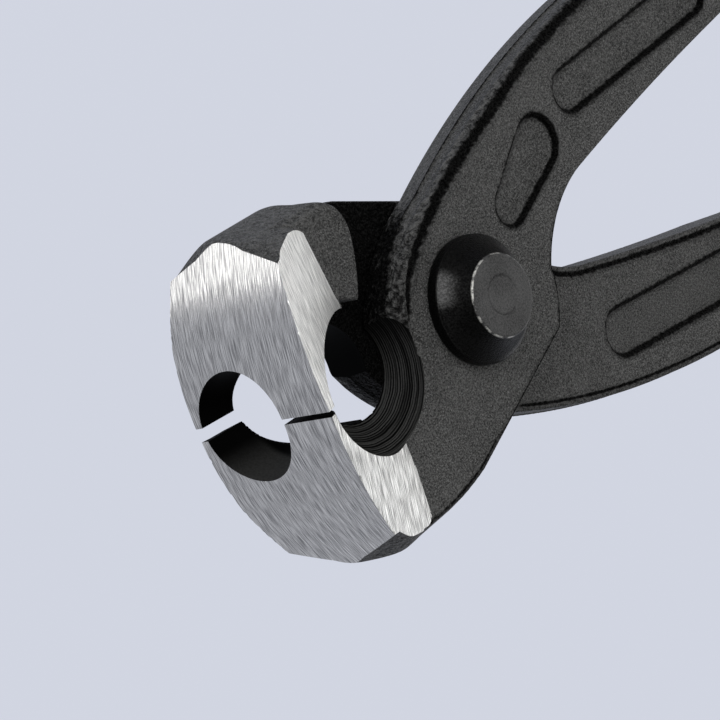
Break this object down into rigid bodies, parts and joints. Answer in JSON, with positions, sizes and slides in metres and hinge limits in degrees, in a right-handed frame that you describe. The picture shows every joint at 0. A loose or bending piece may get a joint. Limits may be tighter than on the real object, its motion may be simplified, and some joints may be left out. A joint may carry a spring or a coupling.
{
  "type": "ear clamp pliers",
  "caption": "Pincer-style pliers with wide ground jaws and a round mouth for crimping ear clamps, two riveted crossing levers and dipped handle sleeves.",
  "frame": {"origin": "centre of the joint, on the rivet's axis, midway between the two levers", "axes": "+X along the tool towards the handles, +Y the way the upper jaw opens, +Z along the rivet towards the near lever"},
  "size_m": [0.2198, 0.061, 0.0228],
  "materials": {
    "forged_steel": "black phosphated forging with brushed bright jaws",
    "rivet_steel": "black phosphated, rim worn bright",
    "dipped_grip": "dipped vinyl with a soft sheen"
  },
  "bodies": {
    "near_half": {"near_lever": "forged_steel", "joint_rivet": "rivet_steel", "upper_grip": "dipped_grip"},
    "far_half": {"far_lever": "forged_steel", "lower_grip": "dipped_grip"}
  },
  "joints": [
    {"name": "jaw_pivot", "type": "hinge", "parent": "near_half", "child": "far_half", "pos_m": [0, 0, 0], "axis": [0, 0, -1], "range_deg": [-1.1, 28]}
  ]
}
